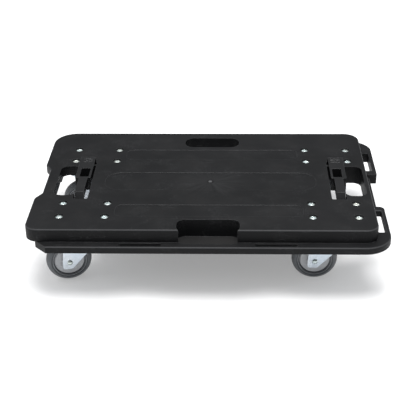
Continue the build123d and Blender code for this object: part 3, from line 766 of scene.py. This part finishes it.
# lengths in millimetres
screwShape = {
    "rings": 26,
    "facets": 96,
    "headRadius": 6.0,
    "headHeight": 2.4,
    "rimHeight": 0.55,
    "rimRound": 0.35,
    "recessReach": 3.2,
    "recessWidth": 0.62,
    "recessTaper": 0.42,
    "recessDepth": 1.5,
    "recessRise": 0.45,
    "domePower": 2.2,
    "shankRadius": 2.95,
    "shankLength": 34.2,
    "tipChamfer": 0.5,
}


def screwHeadHeight(x, y):
    # domed top with a tapering cross recess, measured from the underside of the head
    s = screwShape
    radius = hypot(x, y)
    rise = s["headHeight"] - s["rimHeight"]
    dome = s["headHeight"] - rise * (radius / s["headRadius"]) ** s["domePower"]
    along, beside = max(abs(x), abs(y)), min(abs(x), abs(y))
    sideWall = (s["recessWidth"] - beside) / s["recessTaper"]
    endWall = (s["recessReach"] - along) / (2 * s["recessTaper"])
    depth = s["recessDepth"] * (1 - s["recessRise"] * along / s["recessReach"])
    return dome - depth * min(max(min(sideWall, endWall) + 0.5, 0.0), 1.0)


def buildScrewMesh():
    s = screwShape
    build = bmesh.new()
    centre = build.verts.new((0, 0, screwHeadHeight(0, 0) * millimetre))
    loops = []
    for ring in range(1, s["rings"] + 1):
        radius = s["headRadius"] * ring / s["rings"]
        loop = []
        for facet in range(s["facets"]):
            turn = tau * facet / s["facets"]
            x, y = radius * cos(turn), radius * sin(turn)
            spot = Vector((x, y, screwHeadHeight(x, y))) * millimetre
            loop.append(build.verts.new(spot))
        loops.append(loop)
    lower = [
        (s["headRadius"], s["rimRound"]),
        (s["headRadius"] - s["rimRound"], 0.0),
        (s["shankRadius"], 0.0),
        (s["shankRadius"], s["tipChamfer"] - s["shankLength"] + s["headHeight"]),
        (s["shankRadius"] - s["tipChamfer"], s["headHeight"] - s["shankLength"]),
    ]
    for radius, height in lower:
        loop = []
        for facet in range(s["facets"]):
            turn = tau * facet / s["facets"]
            spot = Vector((radius * cos(turn), radius * sin(turn), height)) * millimetre
            loop.append(build.verts.new(spot))
        loops.append(loop)
    count = s["facets"]
    for facet in range(count):
        build.faces.new((centre, loops[0][facet], loops[0][(facet + 1) % count]))
    joinLoops(build, zip(loops, loops[1:]), count)
    build.faces.new(list(reversed(loops[-1])))
    return closeMesh(build, "oneDeckScrew")


def makeFastenerTree():
    # four groups of four fasteners: one grid of casters, and a smaller grid of holes at each
    tree = bpy.data.node_groups.new("fastenerPattern", "GeometryNodeTree")
    sockets = {
        "Caster Span X": "Float",
        "Caster Span Y": "Float",
        "Hole Span X": "Float",
        "Hole Span Y": "Float",
        "Centre": "Vector",
        "Seed": "Int",
        "Fastener": "Object",
        "Finish": "Material",
    }
    names = {}
    for name, kind in sockets.items():
        socket = tree.interface.new_socket(name, in_out="INPUT", socket_type="NodeSocket" + kind)
        names[name] = socket.identifier
    tree.interface.new_socket("Geometry", in_out="OUTPUT", socket_type="NodeSocketGeometry")
    start = tree.nodes.new("NodeGroupInput").outputs
    end = tree.nodes.new("NodeGroupOutput").inputs
    grids = []
    for span in ("Caster Span", "Hole Span"):
        sides = {"Size X": start[span + " X"], "Size Y": start[span + " Y"]}
        grid = addNode(tree, "GeometryNodeMeshGrid", {"Vertices X": 2, "Vertices Y": 2, **sides})
        grids.append(grid.outputs["Mesh"])
    pairs = {"Points": grids[0], "Instance": grids[1]}
    groups = addNode(tree, "GeometryNodeInstanceOnPoints", pairs).outputs["Instances"]
    spots = addNode(tree, "GeometryNodeRealizeInstances", {"Geometry": groups})
    info = addNode(tree, "GeometryNodeObjectInfo", {"Object": start["Fastener"]})
    turn = addNode(tree, "FunctionNodeRandomValue", {"Seed": start["Seed"]}, data_type="FLOAT")
    turn.inputs[3].default_value = tau
    angles = addNode(tree, "ShaderNodeCombineXYZ", {"Z": turn.outputs[1]})
    copies = {
        "Points": spots.outputs["Geometry"],
        "Instance": info.outputs["Geometry"],
        "Rotation": angles.outputs[0],
    }
    fasteners = addNode(tree, "GeometryNodeInstanceOnPoints", copies).outputs["Instances"]
    move = {"Geometry": fasteners, "Translation": start["Centre"]}
    placed = addNode(tree, "GeometryNodeTransform", move).outputs["Geometry"]
    solid = addNode(tree, "GeometryNodeRealizeInstances", {"Geometry": placed}).outputs["Geometry"]
    finished = addNode(tree, "GeometryNodeSetMaterial", {"Geometry": solid, "Material": start["Finish"]})
    tree.links.new(finished.outputs["Geometry"], end["Geometry"])
    return tree, names


def placeFasteners(name, node, shape, base, randomSeed, finish):
    # sets one fastener at each of the sixteen holes and lets the set stand for its CAD node
    low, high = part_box("deck_screws")
    plates = [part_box(corner + "_mounting_plate") for corner in cornerNames]
    centres = [(lowPlate + highPlate) / 2 for lowPlate, highPlate in plates]
    casterSpanX = centres[1].x - centres[0].x
    casterSpanY = centres[2].y - centres[0].y
    reach = 2 * screwShape["headRadius"] * millimetre
    seed = bpy.data.objects.new(name + "Seed", shape)
    bpy.context.scene.collection.objects.link(seed)
    holder = bpy.data.objects.new(name + "Holder", bpy.data.meshes.new(name + "Holder"))
    bpy.context.scene.collection.objects.link(holder)
    pattern = holder.modifiers.new("pattern", "NODES")
    pattern.node_group = fastenerTree
    values = {
        "Caster Span X": casterSpanX,
        "Caster Span Y": casterSpanY,
        "Hole Span X": high.x - low.x - casterSpanX - reach,
        "Hole Span Y": high.y - low.y - casterSpanY - reach,
        "Centre": (0.0, (centres[0].y + centres[2].y) / 2, base),
        "Seed": randomSeed,
        "Fastener": seed,
        "Finish": finish,
    }
    for socketName, value in values.items():
        pattern[fastenerInputs[socketName]] = value
    bpy.context.view_layer.update()
    evaluated = holder.evaluated_get(bpy.context.evaluated_depsgraph_get())
    mesh = bpy.data.meshes.new_from_object(evaluated)
    for leftover in (holder, seed):
        bpy.data.objects.remove(leftover)
    fasteners = finishMesh(name, mesh)
    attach(fasteners, "deck")
    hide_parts(node)


nutShape = {
    "facets": 96,
    "rings": 8,
    "chamferTan": 0.5,
    "chamferStart": 0.97,
    "boreChamfer": 0.45,
}


def hexReach(turn, acrossFlats):
    # distance from the centre to the side of a hexagon in this direction
    inSide = (turn + pi / 6) % (pi / 3) - pi / 6
    return acrossFlats / 2 / cos(inSide)


def buildNutMesh(name, acrossFlats, height, bore, place=Matrix()):
    # hexagon nut standing on its origin, with chamfered corners on top and a countersunk bore
    s = nutShape
    build = bmesh.new()
    loops = []
    inner = bore + s["boreChamfer"]
    chamferRadius = s["chamferStart"] * acrossFlats / 2
    # level, kind of loop, and how far out it lies
    steps = [(0.0, "bore", bore), (height - s["boreChamfer"], "bore", bore), (height, "bore", inner)]
    steps += [(height, "face", ring / s["rings"]) for ring in range(1, s["rings"] + 1)]
    steps += [(0.0, "face", 1.0)]
    for level, kind, amount in steps:
        loop = []
        for facet in range(s["facets"]):
            turn = tau * facet / s["facets"]
            radius, lowered = amount, 0.0
            if kind == "face":
                radius = inner + (hexReach(turn, acrossFlats) - inner) * amount
                if level:
                    lowered = max(0.0, radius - chamferRadius) * s["chamferTan"]
            spot = Vector((radius * cos(turn), radius * sin(turn), level - lowered))
            loop.append(build.verts.new(place @ (spot * millimetre)))
        loops.append(loop)
    joinLoops(build, zip(loops, loops[1:] + loops[:1]), s["facets"])
    return closeMesh(build, name)


fastenerTree, fastenerInputs = makeFastenerTree()
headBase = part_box("deck_screws")[1].z - screwShape["headHeight"] * millimetre
placeFasteners("deckScrewSet", "deck_screws", buildScrewMesh(), headBase, 11, screwZinc)
nutLow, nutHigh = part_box("deck_nuts")
deckNut = {"acrossFlats": 10.0, "bore": 3.05}
flipped = Matrix.Rotation(pi, 4, "X")
nutHeight = (nutHigh.z - nutLow.z) / millimetre
nutMesh = buildNutMesh("oneDeckNut", deckNut["acrossFlats"], nutHeight, deckNut["bore"], flipped)
placeFasteners("deckNutSet", "deck_nuts", nutMesh, nutHigh.z, 5, nutZinc)
print("deck screws and nuts placed")

# start is the distance from the middle of the wheel to the outside of the fork's leg
axleNut = {"acrossFlats": 13.0, "height": 6.0, "bore": 4.05, "start": 16.0}


def placeAxleNuts():
    # each nut stands on the fork's far leg, its bore along the axle
    for corner in cornerNames:
        spin = joints[corner + "_wheel_spin"]
        axis = Vector(spin["axis"])
        turned = axis.to_track_quat("Z", "Y").to_matrix().to_4x4()
        seat = Vector(spin["pos_m"]) + axis * axleNut["start"] * millimetre
        place = Matrix.Translation(seat) @ turned
        sizes = (axleNut["acrossFlats"], axleNut["height"], axleNut["bore"])
        mesh = buildNutMesh(corner + "AxleNut", *sizes, place)
        mesh.materials.append(nutZinc)
        nut = finishMesh(corner + "AxleNut", mesh)
        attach(nut, corner + "_swivel")
        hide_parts(corner + "_axle_nut")


placeAxleNuts()
print("axle nuts placed")


studio = {
    "floorSize": 14.0,
    "floorSquares": 14,
    "floorRoughness": 0.85,
    "mottleScale": 3.0,
    "mottleDetail": 3.0,
    "mottleSpan": (0.3, 0.7),
    "floorColour": (0.70, 0.70, 0.70, 1.0),
    "floorMottle": (0.66, 0.66, 0.66, 1.0),
    "skyLow": (0.20, 0.205, 0.212, 1.0),
    "skyHigh": (1.00, 1.01, 1.03, 1.0),
    "skyTurn": (0.40, 0.75),
    "floorGlow": 0.42,
    "cameraPlace": (0.0441, -1.5573, 0.9278),
    "cameraTurn": (61.148, 0.587, 1.467),
    "lens": 88.95,
    "sensor": 36.0,
    "farthest": 60.0,
}
# name, place, aim, size, power
softLights = [
    ("overhead", (0.1, -0.4, 2.4), (0.0, -0.1, 0.0), 1.3, 75.0),
    ("frontFill", (0.7, -2.4, 1.5), (0.0, 0.0, 0.05), 1.2, 2.0),
    ("leftFill", (-2.2, -0.6, 1.2), (0.0, 0.0, 0.05), 1.2, 4.0),
]


def makeFloor():
    build = bmesh.new()
    squares = studio["floorSquares"]
    bmesh.ops.create_grid(build, x_segments=squares, y_segments=squares, size=studio["floorSize"] / 2)
    mesh = bpy.data.meshes.new("studioFloor")
    build.to_mesh(mesh)
    build.free()
    settings = {
        "Roughness": studio["floorRoughness"],
        "Emission Color": studio["floorColour"],
        "Emission Strength": studio["floorGlow"],
    }
    material, tree, shader, place = startMaterial("floorPaint", settings)
    clouds = noise(tree, place, studio["mottleScale"], studio["mottleDetail"])
    tone = remap(tree, clouds, *studio["mottleSpan"])
    shade = mixColour(tree, tone, studio["floorColour"], studio["floorMottle"])
    tree.links.new(shade, shader.inputs["Base Color"])
    mesh.materials.append(material)
    floor = bpy.data.objects.new("studioFloor", mesh)
    bpy.context.scene.collection.objects.link(floor)


def makeLights():
    for name, place, aim, size, power in softLights:
        lamp = bpy.data.lights.new(name, "AREA")
        lamp.size = size
        lamp.energy = power
        holder = bpy.data.objects.new(name, lamp)
        holder.location = place
        holder.rotation_euler = (Vector(aim) - Vector(place)).to_track_quat("-Z", "Y").to_euler()
        bpy.context.scene.collection.objects.link(holder)
    world = bpy.data.worlds.new("studioWorld")
    world.use_nodes = True
    tree = world.node_tree
    (height,) = split(tree, tree.nodes.new("ShaderNodeTexCoord").outputs["Generated"], "Z")
    climb = remap(tree, height, *studio["skyTurn"])
    sky = mixColour(tree, climb, studio["skyLow"], studio["skyHigh"])
    tree.links.new(sky, tree.nodes["Background"].inputs["Color"])
    bpy.context.scene.world = world


def makeCamera():
    lens = bpy.data.cameras.new("viewCamera")
    lens.lens = studio["lens"]
    lens.sensor_width = studio["sensor"]
    lens.clip_end = studio["farthest"]
    camera = bpy.data.objects.new("viewCamera", lens)
    camera.location = studio["cameraPlace"]
    camera.rotation_euler = [radians(turn) for turn in studio["cameraTurn"]]
    bpy.context.scene.collection.objects.link(camera)
    bpy.context.scene.camera = camera


makeFloor()
makeLights()
makeCamera()
bpy.context.scene.view_settings.view_transform = "Standard"
print("studio ready")
